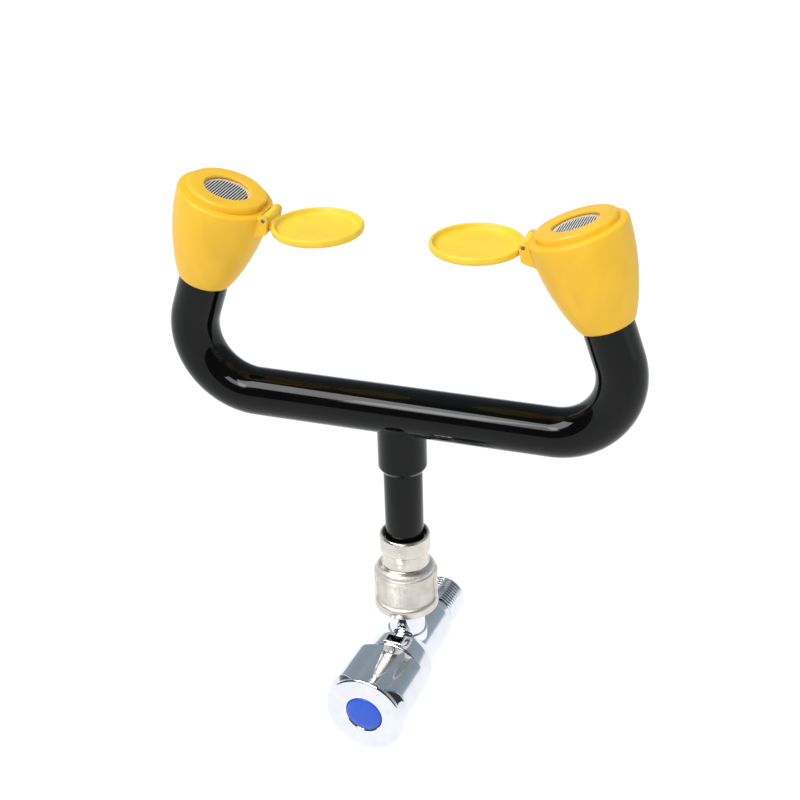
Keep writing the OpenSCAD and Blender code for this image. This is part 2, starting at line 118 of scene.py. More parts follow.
RISER_MIDDLE, RISER_R, RISER_BOTTOM, RISER_TOP = middle_and_radius("riser_pipe")
SOCKET_BOTTOM, SOCKET_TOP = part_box("reducing_socket")[0].z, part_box("reducing_socket")[1].z
TEE_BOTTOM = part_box("tee_socket")[0].z
INLET_END, MOUTH = along_valve("valve_body")
HANDLE_BACK, HANDLE_FRONT = along_valve("handle")
BUTTON_FRONT = along_valve("index_button")[1]
RISER_PLACE = Matrix.Translation((RISER_MIDDLE.x, RISER_MIDDLE.y, 0))
VALVE_PLACE = Matrix.Rotation(pi / 2, 4, "X")


def arm_place(side, heads):
    """Frame of one arm: the origin at the end of the bend, found from the lid's pin."""
    hinge = joint(f"lid_{side}_hinge")
    level = UP.cross(Vector(hinge["axis"])).normalized()
    lean = heads.arm_lean
    inward = level * cos(lean) - UP * sin(lean)
    along = level * sin(lean) + UP * cos(lean)
    place = Matrix((inward, along.cross(inward), along)).transposed().to_4x4()
    place.translation = Vector(hinge["pos_m"]) - inward * heads.pin_out - along * heads.pin_up
    return place


def bar_place(heads, pipes):
    """Frame of the bar tube, half its straight length, and the height of its axis."""
    start = arm_place("left", heads).translation
    axis = joint("lid_left_hinge")["axis"]
    turn = atan2(axis[0], -axis[1])
    height = start.z - pipes.bend_r * (1 + sin(heads.arm_lean))
    reach = (start - RISER_MIDDLE).xy.length
    place = Matrix.Translation((RISER_MIDDLE.x, RISER_MIDDLE.y, height))
    return place @ Matrix.Rotation(turn, 4, "Z"), reach - pipes.bend_r * cos(heads.arm_lean)


# ---- mesh tools ----

def evenly(start, end, count):
    """Points of an outline between two of its points, the first one included."""
    return [tuple(a + (b - a) * i / count for a, b in zip(start, end)) for i in range(count)]


def turned(outline, steps=ROUND):
    """Turns an outline of (radius, height[, rounding]) about Z, in millimetres.

    An outline that starts and ends off the axis is closed into a ring.
    """
    bm = bmesh.new()
    verts = [bm.verts.new((p[0] * MM, 0, p[1] * MM)) for p in outline]
    pairs = list(zip(verts, verts[1:]))
    if outline[0][0] > 0 or outline[-1][0] > 0:
        pairs.append((verts[-1], verts[0]))
    for pair in pairs:
        bm.edges.new(pair)
    for vert, point in zip(verts, outline):
        if len(point) > 2:
            bmesh.ops.bevel(bm, geom=[vert], offset=point[2] * MM, offset_type="OFFSET",
                segments=3, profile=0.5, affect="VERTICES", material=-1)
    bmesh.ops.spin(bm, geom=bm.verts[:] + bm.edges[:], cent=(0, 0, 0), axis=(0, 0, 1),
        angle=FULL_TURN, steps=steps, use_merge=True)
    return tidied(bm)


def tidied(bm):
    """Merges doubles and turns every face outwards."""
    bmesh.ops.remove_doubles(bm, verts=bm.verts, dist=MERGE)
    bmesh.ops.recalc_face_normals(bm, faces=bm.faces)
    return bm


def moved(bm, place):
    """The same mesh, put in place."""
    bmesh.ops.transform(bm, matrix=place, verts=bm.verts)
    return bm


def joined(*parts):
    """One mesh that holds every part."""
    whole = bmesh.new()
    for part in parts:
        mesh = bpy.data.meshes.new("part")
        part.to_mesh(mesh)
        part.free()
        whole.from_mesh(mesh)
        bpy.data.meshes.remove(mesh)
    return whole


def rounded(bm, edge):
    """The same mesh with every edge rounded, in millimetres."""
    bmesh.ops.bevel(bm, geom=bm.edges[:], offset=edge * MM, offset_type="OFFSET", segments=3,
        profile=0.5, affect="EDGES", material=-1, clamp_overlap=True)
    return bm


def verts_of(geom):
    """The vertices in a list of vertices, edges and faces."""
    return [g for g in geom if isinstance(g, bmesh.types.BMVert)]


def edges_of(geom):
    """The edges in a list of vertices, edges and faces."""
    return [g for g in geom if isinstance(g, bmesh.types.BMEdge)]


def open_edges(bm):
    """The edges round the holes of a mesh."""
    return [e for e in bm.edges if e.is_boundary]


def block(low, high, edge):
    """A block between two corners with rounded edges, in millimetres."""
    bm = bmesh.new()
    bmesh.ops.create_cube(bm, size=MM)
    size = [b - a for a, b in zip(low, high)]
    middle = [(a + b) / 2 * MM for a, b in zip(low, high)]
    bmesh.ops.scale(bm, vec=size, verts=bm.verts)
    bmesh.ops.translate(bm, vec=middle, verts=bm.verts)
    return rounded(bm, edge)


def slab(outline, half_width, edge):
    """A solid from an outline of (x, z) drawn out along Y, with rounded edges, in millimetres."""
    bm = bmesh.new()
    face = bm.faces.new([bm.verts.new((x * MM, -half_width * MM, z * MM)) for x, z in outline])
    grown = bmesh.ops.extrude_face_region(bm, geom=[face])["geom"]
    bmesh.ops.translate(bm, vec=(0, 2 * half_width * MM, 0), verts=verts_of(grown))
    bmesh.ops.recalc_face_normals(bm, faces=bm.faces)
    return rounded(bm, edge)


def across(bm, x, z):
    """Turns a piece from the Z axis on to the Y axis and puts it at (x, z), in millimetres."""
    place = Matrix.Translation((x * MM, 0, z * MM)) @ Matrix.Rotation(-pi / 2, 4, "X")
    return moved(bm, place)


def threaded(radius, pitch, depth, low, high, bore, runout=0.0):
    """A tube with a helical thread between two heights, in millimetres.

    Over the runout at its low end the thread fades into a cone that sinks below its roots.
    """
    bm = bmesh.new()
    turns = int((high - low) / pitch) + 3
    outline = [((radius - depth * drop) * MM, (low - 2 * pitch + pitch * (i + share)) * MM)
        for i in range(turns) for drop, share in TOOTH]
    verts = [bm.verts.new((r, 0, h)) for r, h in outline]
    for pair in zip(verts, verts[1:]):
        bm.edges.new(pair)
    bmesh.ops.spin(bm, geom=bm.verts[:] + bm.edges[:], cent=(0, 0, 0), axis=(0, 0, 1),
        dvec=(0, 0, pitch * MM / THREAD_ROUND), angle=FULL_TURN, steps=THREAD_ROUND)
    bmesh.ops.remove_doubles(bm, verts=bm.verts, dist=MERGE)
    for height, side in ((low, -1), (high, 1)):
        bmesh.ops.bisect_plane(bm, geom=bm.verts[:] + bm.edges[:] + bm.faces[:], dist=MERGE,
            plane_co=(0, 0, height * MM), plane_no=(0, 0, side), clear_outer=True)
    for vert in bm.verts:
        rise = vert.co.z / MM - low
        if rise < runout:
            sunk = depth + 0.25
            limit = (radius - sunk + sunk * rise / runout) * MM
            vert.co.xy *= min(1, limit / vert.co.xy.length)
    inner = verts_of(bmesh.ops.extrude_edge_only(bm, edges=open_edges(bm))["geom"])
    for vert in inner:
        vert.co.xy *= bore * MM / vert.co.xy.length
    bmesh.ops.remove_doubles(bm, verts=inner, dist=MERGE)
    bmesh.ops.bridge_loops(bm, edges=open_edges(bm))
    return tidied(bm)


def soft_min(a, b, blend):
    """The smaller of two numbers, with the corner between them rounded."""
    share = max(0.0, min(1.0, 0.5 + 0.5 * (b - a) / blend))
    return b + (a - b) * share - blend * share * (1 - share)


def soft_max(a, b, blend):
    """The larger of two numbers, with the corner between them rounded."""
    return -soft_min(-a, -b, blend)


def between(points, at):
    """Height of a broken line of (place, value) at a place."""
    if at <= points[0][0]:
        return points[0][1]
    for (p0, v0), (p1, v1) in zip(points, points[1:]):
        if at <= p1:
            return v0 + (v1 - v0) * (at - p0) / (p1 - p0)
    return points[-1][1]


def linked(name, data):
    """A new object in the scene for a mesh, a light or a camera."""
    made = bpy.data.objects.new(name, data)
    bpy.context.scene.collection.objects.link(made)
    return made


def put(bm, name, finish, body, slot, *nodes, sharp=40):
    """Makes a piece from a mesh with its finish and its body, and hides the nodes it stands for;
    slot is not used.
    """
    mesh = bpy.data.meshes.new(name)
    bm.to_mesh(mesh)
    bm.free()
    mesh.shade_smooth()
    mesh.set_sharp_from_angle(angle=radians(sharp))
    mesh.materials.append(finish_named(finish))
    piece = linked(name, mesh)
    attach(piece, body)
    if nodes:
        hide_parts(*nodes)
    return piece


# ---- finishes ----

class Finish:
    """A material being made: a Principled shader and the nodes that feed it."""

    def __init__(self, name, **sockets):
        self.material = bpy.data.materials.new(f"finish_{name}")
        self.material.use_nodes = True
        self.tree = self.material.node_tree
        self.shader = self.tree.nodes["Principled BSDF"]
        self.coords = self.tree.nodes.new("ShaderNodeTexCoord").outputs["Object"]
        self.height = None
        for socket, value in sockets.items():
            self.shader.inputs[socket.replace("_", " ")].default_value = value

    def feed(self, socket, value):
        """Links an output to a socket, or sets the socket to a value."""
        if isinstance(value, bpy.types.NodeSocket):
            self.tree.links.new(value, socket)
        elif value is not None:
            socket.default_value = value

    def stretched(self, scale, turn=(0, 0, 0)):
        """Object coordinates, scaled and turned."""
        node = self.tree.nodes.new("ShaderNodeMapping")
        self.feed(node.inputs["Vector"], self.coords)
        node.inputs["Scale"].default_value = scale
        node.inputs["Rotation"].default_value = turn
        return node.outputs["Vector"]

    def noise(self, size, detail=3.0, rough=0.5, coords=None):
        """Noise whose features are about this many metres across."""
        node = self.tree.nodes.new("ShaderNodeTexNoise")
        self.feed(node.inputs["Vector"], coords or self.coords)
        node.inputs["Scale"].default_value = 1 / size
        node.inputs["Detail"].default_value = detail
        node.inputs["Roughness"].default_value = rough
        return node.outputs["Fac"]

    def cells(self, size):
        """Distance to scattered points about this many metres apart."""
        node = self.tree.nodes.new("ShaderNodeTexVoronoi")
        self.feed(node.inputs["Vector"], self.coords)
        node.inputs["Scale"].default_value = 1 / size
        return node.outputs["Distance"]

    def spread(self, value, low, high, to_low=0.0, to_high=1.0):
        """Maps a range of values on to another, held at its ends."""
        node = self.tree.nodes.new("ShaderNodeMapRange")
        self.feed(node.inputs["Value"], value)
        for name, number in zip(("From Min", "From Max", "To Min", "To Max"),
                (low, high, to_low, to_high)):
            node.inputs[name].default_value = number
        return node.outputs["Result"]

    def maths(self, operation, a, b):
        """The result of one operation on two values."""
        node = self.tree.nodes.new("ShaderNodeMath")
        node.operation = operation
        self.feed(node.inputs[0], a)
        self.feed(node.inputs[1], b)
        return node.outputs[0]

    def times(self, a, b):
        return self.maths("MULTIPLY", a, b)

    def plus(self, a, b):
        return self.maths("ADD", a, b)

    def blend(self, share, a, b):
        """Colour a where share is 0 and colour b where it is 1."""
        node = self.tree.nodes.new("ShaderNodeMix")
        node.data_type = "RGBA"
        self.feed(node.inputs["Factor"], share)
        self.feed(node.inputs["A"], a)
        self.feed(node.inputs["B"], b)
        return node.outputs["Result"]

    def mottled(self, share, colour, low, high):
        """One colour, shaded by a factor where share is 0 and by another where it is 1."""
        return self.blend(share, shade(colour, low), shade(colour, high))

    def pointed(self, low, high, *ends):
        """How far the surface stands out, 0.5 on a flat, mapped from a range."""
        node = self.tree.nodes.new("ShaderNodeNewGeometry")
        return self.spread(node.outputs["Pointiness"], low, high, *ends)

    def edges(self):
        """1 along outer edges and 0 elsewhere: wear on some finishes, a painted highlight on the
        chrome and the yellow plastic.
        """
        return self.pointed(0.52, 0.60)

    def shaded_creases(self):
        """1 in tight inner corners, where painted shade is put, and 0 elsewhere."""
        return self.pointed(0.43, 0.49, 1, 0)

    def along(self, axis):
        """One of the object coordinates."""
        node = self.tree.nodes.new("ShaderNodeSeparateXYZ")
        self.feed(node.inputs[0], self.coords)
        return node.outputs[axis]

    def colour(self, value):
        self.feed(self.shader.inputs["Base Color"], value)

    def roughness(self, value):
        self.feed(self.shader.inputs["Roughness"], value)

    def relief(self, height, depth, strength=1.0):
        """Adds a bump of this depth in metres on top of those before it."""
        node = self.tree.nodes.new("ShaderNodeBump")
        node.inputs["Strength"].default_value = strength
        node.inputs["Distance"].default_value = depth
        self.feed(node.inputs["Height"], height)
        if self.height:
            self.feed(node.inputs["Normal"], self.height)
        self.height = node.outputs["Normal"]
        self.feed(self.shader.inputs["Normal"], self.height)


def shade(colour, factor):
    """A colour made lighter or darker."""
    return (*(min(1.0, c * factor) for c in colour[:3]), 1.0)


def chrome(name, colours):
    """Bright plating: soft waves from polishing, smudges, hairlines, painted shade in the roots
    and a painted highlight on the edges.
    """
    finish = Finish(name, Metallic=1.0, IOR=2.5)
    smudge = finish.spread(finish.noise(9 * MM, 4, 0.6), 0.42, 0.68)
    along_y = finish.stretched((1, 0.04, 1))
    hairs = finish.spread(finish.noise(0.5 * MM, 2, 0.5, along_y), 0.62, 0.74)
    plate = finish.mottled(smudge, colours.chrome, 1, 0.93)
    # Painted highlight: outer edges and thread crests are made a little lighter
    plate = finish.blend(finish.edges(), plate, shade(colours.chrome, 1.06))
    # Painted shade: tight inner corners and thread roots are darkened almost to black
    finish.colour(finish.blend(finish.shaded_creases(), plate, shade(colours.chrome, 0.06)))
    finish.roughness(finish.plus(finish.times(hairs, 0.12),
        finish.plus(finish.times(smudge, 0.05), 0.035)))
    finish.relief(finish.noise(8 * MM, 1, 0.4), 0.016 * MM, 0.6)
    finish.relief(hairs, 0.004 * MM, 0.5)
    return finish.material


def black_coat(name, colours):
    """Glossy black powder coat: orange peel, fine dust and rubbed edges."""
    finish = Finish(name, IOR=1.50, Specular_IOR_Level=0.22)
    cloud = finish.noise(16 * MM, 3, 0.5)
    dust = finish.spread(finish.cells(1.6 * MM), 0.0, 0.07, 1, 0)
    speck = finish.times(dust, finish.spread(cloud, 0.5, 0.7, 0.0, 0.4))
    base = finish.mottled(finish.spread(cloud, 0.35, 0.65), colours.coat, 1, 1.4)
    worn = finish.times(finish.edges(), 0.10)
    base = finish.blend(worn, base, shade(colours.coat, 9))
    finish.colour(finish.blend(speck, base, (0.05, 0.05, 0.05, 1)))
    finish.roughness(finish.plus(finish.times(speck, 0.35),
        finish.spread(finish.noise(5 * MM, 3, 0.6), 0.3, 0.7, 0.045, 0.075)))
    finish.relief(finish.noise(2.4 * MM, 1, 0.4), 0.002 * MM, 0.5)
    finish.relief(speck, 0.006 * MM, 0.4)
    return finish.material


def yellow_plastic(name, colours):
    """Moulded plastic: a fine spark-eroded grain, faint flow marks and a painted highlight along
    the edges.
    """
    colour, rough = (colours.shell, 0.38) if name == "yellow_shell" else (colours.lid, 0.36)
    finish = Finish(name, IOR=1.45, Specular_IOR_Level=0.35, Subsurface_Weight=0.05,
        Subsurface_Scale=0.002)
    finish.shader.inputs["Subsurface Radius"].default_value = (1.0, 0.6, 0.1)
    flow = finish.noise(11 * MM, 3, 0.5, finish.stretched((1, 1, 0.5)))
    base = finish.mottled(finish.spread(flow, 0.35, 0.65), colour, 0.95, 1.03)
    # Painted highlight: the edges are made lighter and paler
    edge_highlight = finish.times(finish.edges(), 0.45)
    base = finish.blend(edge_highlight, base, (min(1, colour[0] * 1.08), min(1, colour[1] * 1.18),
        colour[2] * 1.8, 1))
    grime = finish.spread(finish.noise(4 * MM, 5, 0.7), 0.60, 0.78, 0, 0.10)
    finish.colour(finish.blend(grime, base, shade(colour, 0.72)))
    finish.roughness(finish.spread(finish.noise(3 * MM, 4, 0.6), 0.3, 0.7, rough - 0.05,
        rough + 0.07))
    finish.relief(finish.noise(0.35 * MM, 2, 0.6), 0.012 * MM, 0.55)
    finish.relief(flow, 0.06 * MM, 0.25)
    return finish.material


def cast_nickel(name, colours):
    """Nickel-washed casting: sandy skin on the body, turned rings on the neck and the collar."""
    finish = Finish(name, Metallic=0.92, IOR=2.0)
    sand = finish.noise(0.75 * MM, 4, 0.7)
    patch = finish.noise(6 * MM, 4, 0.6)
    base = finish.mottled(finish.spread(patch, 0.35, 0.68), colours.nickel, 1.05, 0.86)
    pits = finish.spread(sand, 0.30, 0.42, 1, 0)
    base = finish.blend(finish.times(pits, 0.55), base, shade(colours.nickel, 0.50))
    finish.colour(finish.blend(finish.edges(), base, (0.93, 0.89, 0.80, 1)))
    height = finish.along("Z")
    neck = finish.spread(height, SOCKET_BOTTOM + 22.6 * MM, SOCKET_BOTTOM + 23.2 * MM)
    collar = finish.spread(height, SOCKET_BOTTOM + 4.4 * MM, SOCKET_BOTTOM + 5.2 * MM, 1, 0)
    cut = finish.maths("MAXIMUM", neck, collar)
    rings = finish.noise(0.55 * MM, 3, 0.6, finish.stretched((0.02, 0.02, 1)))
    finish.roughness(finish.plus(finish.spread(patch, 0.3, 0.7, 0.20, 0.30),
        finish.times(finish.maths("SUBTRACT", 1.0, cut), 0.10)))
    skin = finish.times(sand, finish.maths("SUBTRACT", 1.0, cut))
    finish.relief(skin, 0.34 * MM, 0.9)
    finish.relief(finish.times(rings, cut), 0.09 * MM, 0.8)
    return finish.material


def brushed_steel(name, colours):
    """Bright stainless steel with a satin skin, brushed along Y."""
    finish = Finish(name, Metallic=0.12, IOR=1.8)
    grain = finish.noise(0.25 * MM, 2, 0.6, finish.stretched((1, 0.03, 1)))
    finish.colour(finish.mottled(grain, colours.steel, 1.08, 0.86))
    finish.roughness(finish.spread(grain, 0.3, 0.7, 0.16, 0.30))
    finish.relief(grain, 0.004 * MM, 0.5)
    return finish.material


def button_blue(name, colours):
    """Dyed clear-coated plastic with a faint grain."""
    finish = Finish(name, IOR=1.5, Coat_Weight=0.3, Coat_Roughness=0.12)
    cloud = finish.noise(4 * MM, 3, 0.5)
    base = finish.mottled(cloud, colours.button, 1.12, 0.86)
    finish.colour(finish.blend(finish.edges(), base, shade(colours.button, 1.7)))
    finish.roughness(finish.spread(finish.noise(1.2 * MM, 3, 0.6), 0.3, 0.7, 0.26, 0.38))
    finish.relief(finish.noise(0.3 * MM, 2, 0.5), 0.006 * MM, 0.5)
    return finish.material


def plain_part(name, colour, rough, grain, metal):
    """A part held inside: its colour mottled, with a grain of one size."""
    finish = Finish(name, Metallic=metal)
    mottle = finish.noise(grain * 8, 4, 0.6)
    base = finish.mottled(mottle, colour, 1.15, 0.82)
    finish.colour(finish.blend(finish.edges(), base, shade(colour, 1.3)))
    finish.roughness(finish.spread(mottle, 0.3, 0.7, rough - 0.06, rough + 0.08))
    finish.relief(finish.noise(grain, 3, 0.6), grain * 0.08, 0.6)
    return finish.material


def pale_floor(name, colours):
    """Matt studio paper with a very faint tooth."""
    finish = Finish(name)
    tooth = finish.noise(1.2 * MM, 3, 0.6)
    finish.colour(finish.mottled(tooth, colours.floor, 1, 0.985))
    finish.roughness(finish.spread(tooth, 0.3, 0.7, 0.82, 0.9))
    finish.relief(tooth, 0.02 * MM, 0.2)
    return finish.material


MAKERS = {"chrome": chrome, "black_coat": black_coat, "yellow_shell": yellow_plastic,
    "yellow_lid": yellow_plastic, "cast_nickel": cast_nickel, "screen_steel": brushed_steel,
    "button_blue": button_blue, "pale_floor": pale_floor}
# Colour, roughness, size of the grain and metal of the finishes that plain_part makes
PLAIN_PARTS = {
    "pin_steel": ((0.16, 0.15, 0.13), 0.35, 0.2 * MM, 1.0),
    "brass": ((0.62, 0.42, 0.17), 0.30, 0.25 * MM, 1.0),
    "stainless": ((0.52, 0.51, 0.50), 0.28, 0.2 * MM, 1.0),
    "rubber": ((0.022, 0.022, 0.023), 0.70, 0.3 * MM, 0.0),
    "ceramic": ((0.80, 0.78, 0.74), 0.18, 0.15 * MM, 0.0),
    "black_plastic": ((0.018, 0.018, 0.019), 0.45, 0.3 * MM, 0.0),
    "white_plastic": ((0.74, 0.74, 0.72), 0.40, 0.3 * MM, 0.0),
    "foam": ((0.018, 0.018, 0.019), 0.92, 0.7 * MM, 0.0),
}


def finish_named(name):
    """The finish of that name, made the first time that it is asked for."""
    made = bpy.data.materials.get(f"finish_{name}")
    if made:
        return made
    if name in PLAIN_PARTS:
        return plain_part(name, *PLAIN_PARTS[name])
    return MAKERS[name](name, bpy.context.scene.eyewash_colours)


# ---- sizes and colours that a user would change ----

def length(name, description, default):
    return FloatProperty(name=name, description=description, default=default, unit="LENGTH",
        precision=5)


def angle(name, description, default):
    return FloatProperty(name=name, description=description, default=default, unit="ROTATION")


def colour(name, description, default):
    return FloatVectorProperty(name=name, description=description, default=default,
        subtype="COLOR", size=3, min=0, max=1)


class ValveSizes(bpy.types.PropertyGroup):
    thread_r: length("Thread radius", "Radius over the crests of the pipe threads", 10.48 * MM)
    thread_pitch: length("Thread pitch", "Distance between two crests", 1.814 * MM)
    thread_depth: length("Thread depth", "Depth of the thread", 1.16 * MM)
    bore_r: length("Inlet bore", "Radius of the water way through the inlet", 6.5 * MM)
    body_r: length("Body radius", "Radius of the valve's body", 12.5 * MM)
    bonnet_r: length("Bonnet radius", "Radius of the bonnet behind the handle", 15.8 * MM)
    chamber_r: length("Chamber radius", "Radius of the chamber round the headwork", 9.3 * MM)
    neck_r: length("Neck radius", "Radius of the plain neck under the outlet thread", 8.2 * MM)
    badge_w: length("Badge width", "Width of the plain raised badge", 9 * MM)


class HandleSizes(bpy.types.PropertyGroup):
    flute_r: length("Flute radius", "Radius at the bottom of the flutes", 16.8 * MM)
    lobe_rise: length("Lobe rise", "Height of the lobes over the flutes", 2.8 * MM)
    lobe_angle: angle("Lobe angle", "Angle of the first lobe above the horizontal", radians(24))
    disc_r: length("Disc radius", "Radius of the front disc", 18.3 * MM)
    button_r: length("Button radius", "Radius of the index button", 8.5 * MM)


class SocketSizes(bpy.types.PropertyGroup):
    body_r: length("Body radius", "Radius of the cast body", 13.25 * MM)
    collar_r: length("Collar radius", "Radius of the bottom collar", 14.6 * MM)
    neck_r: length("Neck radius", "Radius of the turned neck", 10.4 * MM)
    rim_r: length("Rim radius", "Radius of the top rim", 11.4 * MM)
    mouth_r: length("Mouth radius", "Radius of the wide mouth round the riser", 9.9 * MM)


class PipeSizes(bpy.types.PropertyGroup):
    bar_r: length("Bar radius", "Outside radius of the bent bar tube", 10.65 * MM)
    bend_r: length("Bend radius", "Radius of the bends along the tube's axis", 28.1 * MM)
    tube_end: length("Arm length", "Length of the straight arm past the bend", 30 * MM)
    tee_r: length("Tee radius", "Outside radius of the tee socket", 10.75 * MM)


class HeadSizes(bpy.types.PropertyGroup):
    arm_lean: angle("Arm lean", "Lean of the arms towards the middle", radians(19))
    pin_out: length("Pin distance", "Distance of the hinge pin from the arm's axis", 20.8 * MM)
    pin_up: length("Pin height", "Height of the hinge pin along the arm", 56.5 * MM)
    bottom_r: length("Bottom radius", "Radius of a shell's bottom edge", 11.3 * MM)
    rim_r: length("Rim radius", "Radius of a shell's rim", 20.4 * MM)
    cap_r: length("Cap radius", "Radius of the raised nozzle cap", 17 * MM)
    nozzle_r: length("Nozzle radius", "Radius of the nozzle's opening", 9.7 * MM)
    gaps: IntProperty(name="Screen gaps", description="Number of gaps across a screen", default=16)


class LidSizes(bpy.types.PropertyGroup):
    lid_r: length("Lid radius", "Outside radius of a dust lid", 19.2 * MM)
    inner_r: length("Inner radius", "Radius inside a dust lid's skirt", 17.4 * MM)
    knuckle_half: length("Knuckle", "Half the length of a lid's knuckle", 4.7 * MM)


class FinishColours(bpy.types.PropertyGroup):
    chrome: colour("Chrome", "Colour of the plated valve", (0.86, 0.88, 0.93))
    coat: colour("Coat", "Colour of the black powder coat", (0.0022, 0.0023, 0.0026))
    shell: colour("Shell", "Colour of the spray heads", (0.955, 0.555, 0.034))
    lid: colour("Lid", "Colour of the dust lids", (0.960, 0.665, 0.055))
    nickel: colour("Nickel", "Colour of the cast socket", (0.75, 0.70, 0.635))
    steel: colour("Steel", "Colour of the nozzle screens", (0.93, 0.92, 0.89))
    button: colour("Button", "Colour of the index button", (0.006, 0.085, 0.640))
    floor: colour("Floor", "Colour of the studio floor", (0.97, 0.955, 0.94))


class StageSizes(bpy.types.PropertyGroup):
    azimuth: angle("Azimuth", "Direction of the camera round the object", radians(24))
    elevation: angle("Elevation", "Height of the camera above the horizon", radians(28.33))
    roll: angle("Roll", "Turn of the camera about its own axis", radians(-1.71))
    distance: length("Distance", "Distance of the camera from its target", 0.6368)
    lens: FloatProperty(name="Lens", description="Focal length of the camera, in millimetres",
        default=67.1)
    floor_drop: length("Floor drop", "Distance from the object's lowest point to the floor", 0.30)


# ---- pieces ----

class EYEWASH_OT_valve_body(bpy.types.Operator):
    """Angle valve: threaded inlet, body, bonnet with its badge, and outlet neck"""
    bl_idname = "eyewash.valve_body"
    bl_label = "Valve body"

    def execute(self, context):
        s = context.scene.eyewash_valve
        start, mouth = INLET_END / MM, MOUTH / MM
        body, bonnet, bore = s.body_r / MM, s.bonnet_r / MM, s.bore_r / MM
        root = (s.thread_r - s.thread_depth) / MM
        collar = s.thread_r / MM + 0.4
        chamber = s.chamber_r / MM
        back = -start
        shell = turned([
            (bore, back - 0.6), (root - 0.3, back - 0.6), (root, back, 0.2),
            (collar, back + 1.0, 0.3), (collar, back + 4.8, 0.3), (body - 0.5, back + 5.3, 0.35),
            (body, back + 6.0, 0.3), (body, mouth - 14.7, 1.2), (bonnet - 0.5, mouth - 10.6, 0.9),
            (bonnet, mouth - 9.2, 0.4), (bonnet, mouth - 0.6, 0.35), (bonnet - 0.5, mouth, 0.2),
            (chamber + 0.5, mouth, 0.2), (chamber, mouth - 0.5), (chamber, mouth - 25),
            (bore, mouth - 25)], FINE_ROUND)
        inlet = threaded(s.thread_r / MM, s.thread_pitch / MM, s.thread_depth / MM, start,
            back - 0.3, bore, 1.7)
        valve = moved(joined(shell, inlet), VALVE_PLACE)
        piece = joined(valve, self.outlet(s), self.badge(s))
        put(piece, "angle_valve", "chrome", "base", "chrome", "valve_body", sharp=50)
        return {"FINISHED"}

    def outlet(self, s):
        """Neck with its foot ring seated on the round body, and the thread above it."""
        body, neck = s.body_r / MM, s.neck_r / MM
        top = SOCKET_BOTTOM / MM
        foot = neck + 0.95
        bm = turned([(6, 4), (foot, 4), (foot, body + 0.35), (foot - 0.12, body + 0.75, 0.1),
            (foot - 0.45, body + 0.95, 0.15), (neck + 0.1, body + 1.0, 0.08), (neck, body + 1.3),
            (neck, top + 1.2), (neck - 0.2, top + 1.6), (6, top + 1.6)], FINE_ROUND)
        thread = threaded(s.thread_r / MM - 0.1, s.thread_pitch / MM, s.thread_depth / MM,
            top + 1.1, top + 13.8, 6, 1.5)
        return moved(joined(bm, thread), RISER_PLACE)

    def badge(self, s):
        """Plain raised panel with a sunk middle, on top of the bonnet."""
        half = s.badge_w / MM / 2
        crown = s.bonnet_r / MM
        front = -MOUTH / MM + 1.2
        bm = block((-half, front, crown - 2), (half, front + 6, crown + 0.5), 0.45)
        top = max((f for f in bm.faces if f.normal.z > 0.9), key=lambda f: f.calc_area())
        bmesh.ops.inset_individual(bm, faces=[top], thickness=0.55 * MM, depth=0)
        bmesh.ops.inset_individual(bm, faces=[top], thickness=0.15 * MM, depth=-0.22 * MM)
        return bm


class EYEWASH_OT_handle(bpy.types.Operator):
    """Three-lobed handle, and the index button in its front disc"""
    bl_idname = "eyewash.handle"
    bl_label = "Handle"

    def execute(self, context):
        s = context.scene.eyewash_handle
        back, front = HANDLE_BACK / MM, HANDLE_FRONT / MM
        flute, rise, disc = s.flute_r / MM, s.lobe_rise / MM, s.disc_r / MM
        hole = s.button_r / MM + 0.12
        grip_low, grip_high = back + 0.9, front - 1.75
        outline = [(0, back + 21.7), (3.9, back + 21.7), (13.4, back + 21.7), (13.4, back + 0.3),
            (13.7, back), (flute - 0.9, back, 0.15)]
        outline += evenly((flute, grip_low), (flute, grip_high), 56) + [(flute, grip_high)]
        outline += [(disc - 0.25, front - 1.7), (disc, front - 1.45), (disc, front - 0.65, 0.3),
            (disc - 0.65, front, 0.3), (hole + 0.35, front, 0.12), (hole, front - 0.35),
            (hole, back + 24.7), (0, back + 24.7)]
        bm = turned(outline, FINE_ROUND)
        rims = ((grip_low, flute), (back + 2.6, flute + rise), (front - 5.6, flute + rise),
            (front - 2.9, flute + 0.3), (front - 1.7, flute))
        for vert in bm.verts:
            high = vert.co.z / MM
            here = vert.co.xy.length
            if grip_low - 0.01 < high < grip_high + 0.01 and here > 0.95 * flute * MM:
                turn = atan2(vert.co.y, vert.co.x)
                reach = flute + rise * self.lobe(turn - s.lobe_angle)
                reach = max(flute, soft_min(reach, between(rims, high), 0.35))
                vert.co.xy *= reach * MM / here
        moved(tidied(bm), VALVE_PLACE)
        put(bm, "lobed_handle", "chrome", "handle", "handle_chrome", "handle", sharp=35)
        edge = s.button_r / MM - 0.1
        top = BUTTON_FRONT / MM
        button = turned([(0, top - 0.15), (2.5, top - 0.17), (5, top - 0.26),
            (edge - 1.2, top - 0.5), (edge - 0.3, top - 0.85, 0.2), (edge, top - 1.3, 0.25),
            (edge, back + 24.9), (edge - 1.2, back + 24.9), (edge - 1.2, front - 2),
            (0, front - 2)])
        moved(button, VALVE_PLACE)
        put(button, "blue_index_button", "button_blue", "handle", "blue_button", "index_button")
        return {"FINISHED"}

    def lobe(self, turn):
        """Share of a lobe's height at an angle: a flat crown and a smooth flank."""
        third = FULL_TURN / 3
        off = abs((turn + third / 2) % third - third / 2)
        crown, foot = radians(9), radians(40)
        if off < crown:
            return 1.0
        if off > foot:
            return 0.0
        return 0.5 + 0.5 * cos(pi * (off - crown) / (foot - crown))


